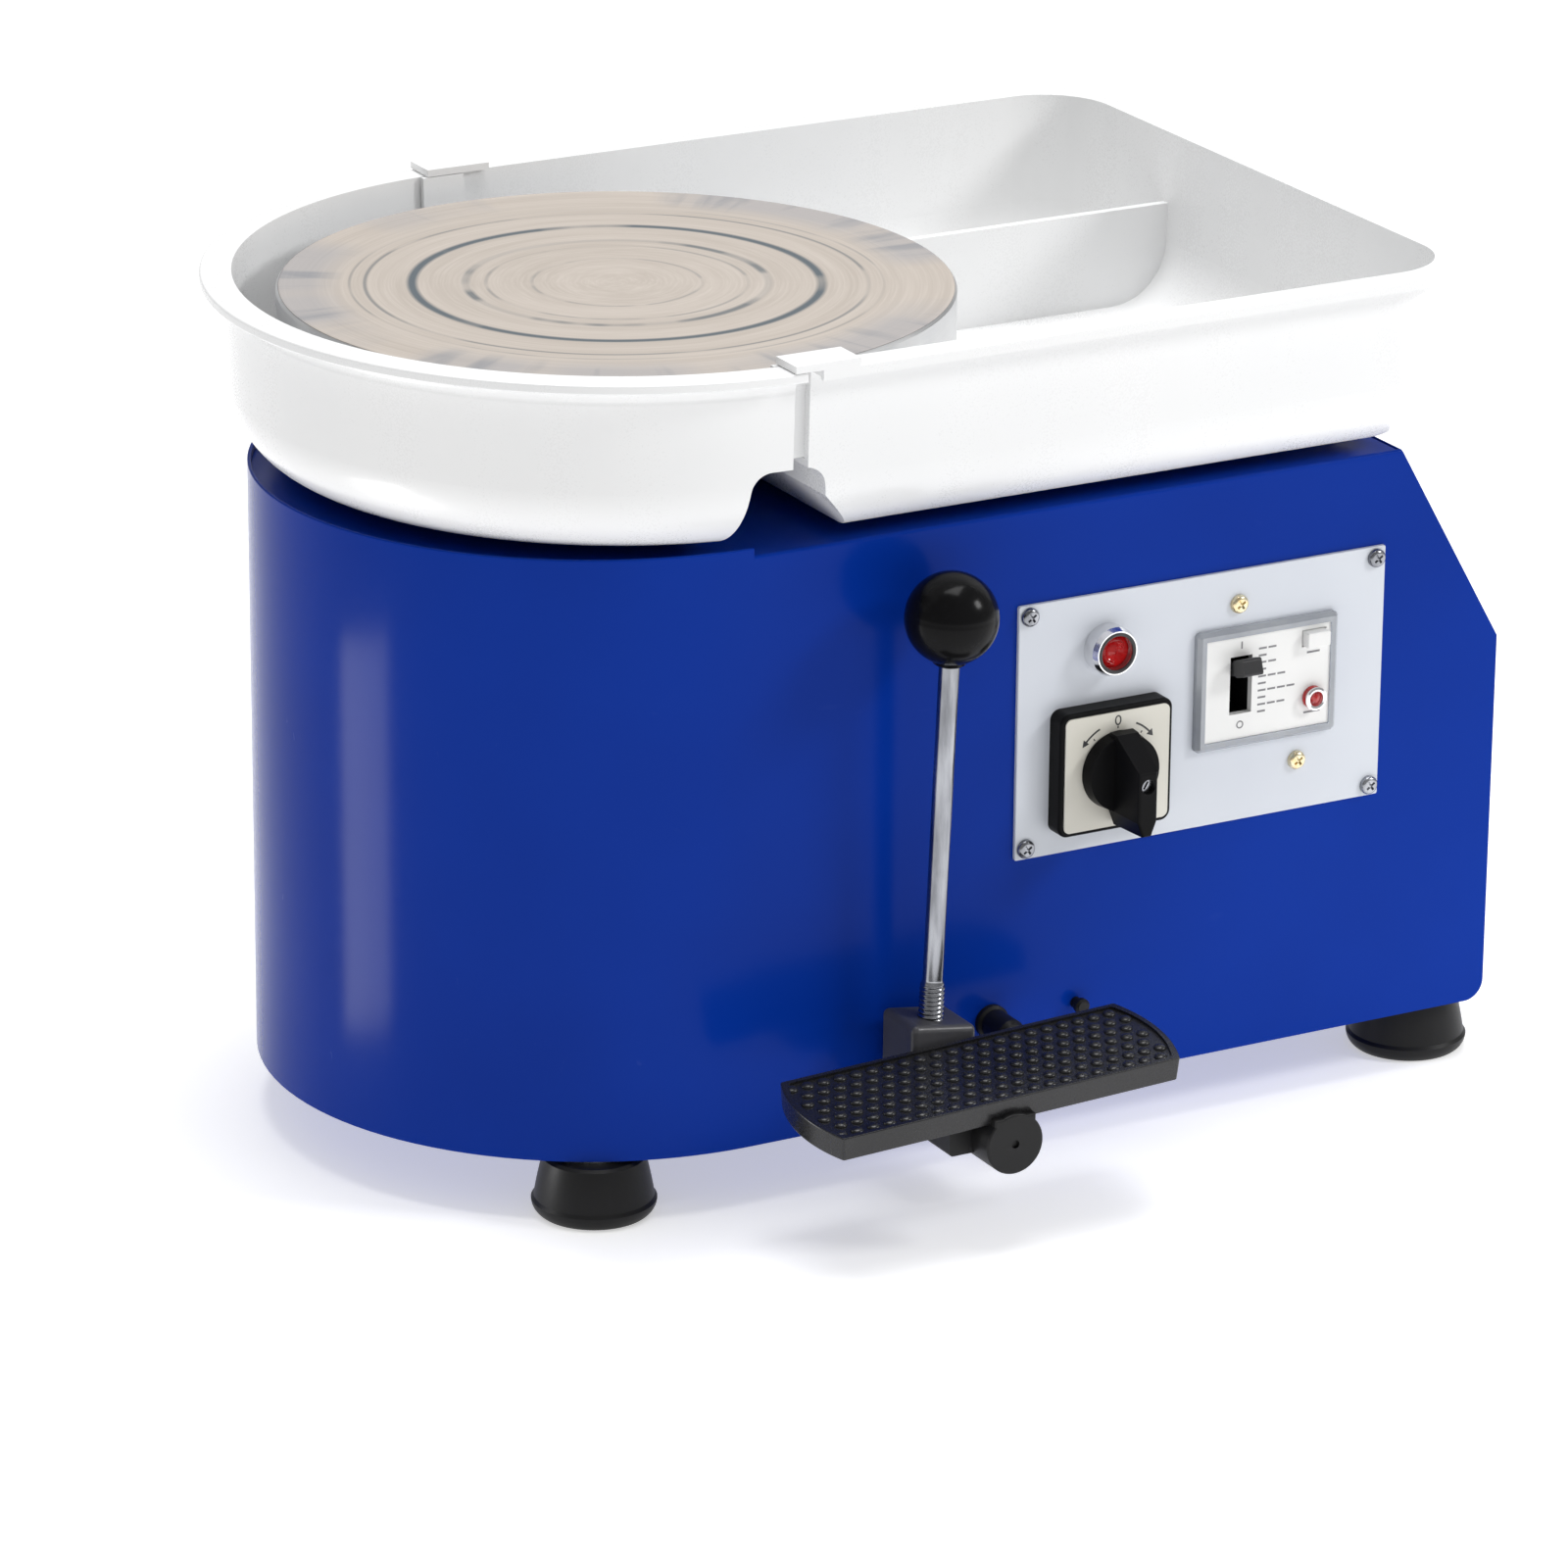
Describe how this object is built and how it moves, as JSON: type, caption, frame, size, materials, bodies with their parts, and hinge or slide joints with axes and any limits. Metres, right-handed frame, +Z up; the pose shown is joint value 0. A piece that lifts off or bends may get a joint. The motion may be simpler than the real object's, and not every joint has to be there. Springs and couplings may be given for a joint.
{
  "type": "pottery wheel",
  "caption": "Table-top pottery wheel: round head in a two-part splash pan on a blue cabinet with a rounded end, foot pedal, hand lever and front switch panel.",
  "frame": {"origin": "middle of the whole object's box, on the floor under the feet", "axes": "+X from the round end towards the square end of the pan, +Y from the potter towards the back, +Z up along the spindle"},
  "size_m": [0.468, 0.3598, 0.3282],
  "materials": {
    "blue_paint": "glossy royal blue powder coat on sheet steel",
    "white_plastic": "moulded white ABS, satin-gloss",
    "wheel_aluminium": "turned cast aluminium with a dried clay film on top",
    "black_rubber": "moulded black rubber",
    "black_plastic": "moulded black nylon",
    "gloss_black": "polished black phenolic",
    "panel_grey": "pale grey painted plate",
    "zinc_steel": "bright zinc-plated steel",
    "yellow_zinc": "yellow zinc-plated steel",
    "chrome": "polished chrome",
    "red_lens": "translucent red plastic",
    "steel": "machined steel",
    "cast_grey": "machined grey iron",
    "motor_black": "black enamel",
    "belt_rubber": "ribbed belt rubber",
    "nylon_white": "natural nylon",
    "clear_plastic": "clear moulded cover",
    "breaker_white": "white moulded plastic",
    "dial_cream": "satin cream dial plate"
  },
  "bodies": {
    "stand": {"curved_shell": "blue_paint", "front_sheet": "blue_paint", "back_sheet": "blue_paint", "end_cover": "blue_paint", "top_plate": "blue_paint", "base_plate": "blue_paint", "foot_front_left": "black_rubber", "foot_back_left": "black_rubber", "foot_front_right": "black_rubber", "foot_back_right": "black_rubber", "foot_bolts": "zinc_steel", "tray_pads": "black_rubber", "cable_gland": "black_plastic", "control_panel": "panel_grey", "panel_screws": "zinc_steel", "breaker_screws": "yellow_zinc", "lamp_bezel": "chrome", "lamp_lens": "red_lens", "lamp_holder": "black_plastic", "switch_base": "black_plastic", "switch_dial": "dial_cream", "switch_body": "black_plastic", "breaker_case": "breaker_white", "breaker_face": "breaker_white", "breaker_frame": "clear_plastic", "breaker_lamp": "red_lens", "bearing_housing": "cast_grey", "bearings": "steel", "drive_belt": "belt_rubber", "motor_housing": "motor_black", "motor_end_caps": "cast_grey", "motor_bracket": "zinc_steel", "drive_bolts": "zinc_steel", "controller_box": "motor_black", "shaft_bracket": "zinc_steel", "shaft_bushes": "nylon_white", "potentiometer": "black_plastic", "pedal_stops": "black_rubber"},
    "wheel": {"wheel_head": "wheel_aluminium", "head_setscrew": "steel", "spindle": "steel", "spindle_nut": "zinc_steel", "driven_pulley": "wheel_aluminium"},
    "motor": {"motor_rotor": "steel", "motor_pulley": "wheel_aluminium"},
    "control": {"control_shaft": "steel", "sector_gear": "nylon_white", "lever_block": "black_plastic", "lever_rod": "zinc_steel", "ball_knob": "gloss_black", "pedal_hub": "black_plastic", "pedal": "black_plastic"},
    "pot": {"potentiometer_gear": "nylon_white"},
    "switch": {"switch_knob": "black_plastic", "switch_spindle": "steel", "knob_screw": "zinc_steel"},
    "toggle": {"breaker_toggle": "black_plastic"},
    "button": {"test_button": "breaker_white"},
    "pan_left": {"splash_pan_left": "white_plastic"},
    "pan_right": {"splash_pan_right": "white_plastic"}
  },
  "joints": [
    {"name": "wheel_spin", "type": "hinge", "parent": "stand", "child": "wheel", "pos_m": [-0.0812, 0.0271, 0.3], "axis": [0, 0, 1], "continuous": true},
    {"name": "motor_spin", "type": "hinge", "parent": "stand", "child": "motor", "pos_m": [0.0688, 0.0271, 0.168], "axis": [0, 0, 1], "continuous": true},
    {"name": "control_tilt", "type": "hinge", "parent": "stand", "child": "control", "pos_m": [-0.0272, -0.1229, 0.042], "axis": [0, 1, 0], "range_deg": [-15, 15]},
    {"name": "potentiometer_turn", "type": "hinge", "parent": "stand", "child": "pot", "pos_m": [-0.0272, -0.0729, 0.0821], "axis": [0, 1, 0], "range_deg": [-45.5, 45.5]},
    {"name": "switch_turn", "type": "hinge", "parent": "stand", "child": "switch", "pos_m": [0.0551, -0.1129, 0.1496], "axis": [0, -1, 0], "range_deg": [-45, 45]},
    {"name": "breaker_flip", "type": "hinge", "parent": "stand", "child": "toggle", "pos_m": [0.1116, -0.0844, 0.1714], "axis": [1, 0, 0], "range_deg": [0, 38]},
    {"name": "test_press", "type": "slide", "parent": "stand", "child": "button", "axis": [0, 1, 0], "range_m": [0, 0.0015], "stiffness_N_per_m": 400, "springref_m": -0.001},
    {"name": "pan_left_off", "type": "slide", "parent": "stand", "child": "pan_left", "axis": [-1, 0, 0], "range_m": [0, 0.18]},
    {"name": "pan_right_off", "type": "slide", "parent": "stand", "child": "pan_right", "axis": [1, 0, 0], "range_m": [0, 0.18]}
  ],
  "couplings": [
    {"joint": "motor_spin", "follows": "wheel_spin", "ratio": 4.0625},
    {"joint": "potentiometer_turn", "follows": "control_tilt", "ratio": -3}
  ]
}
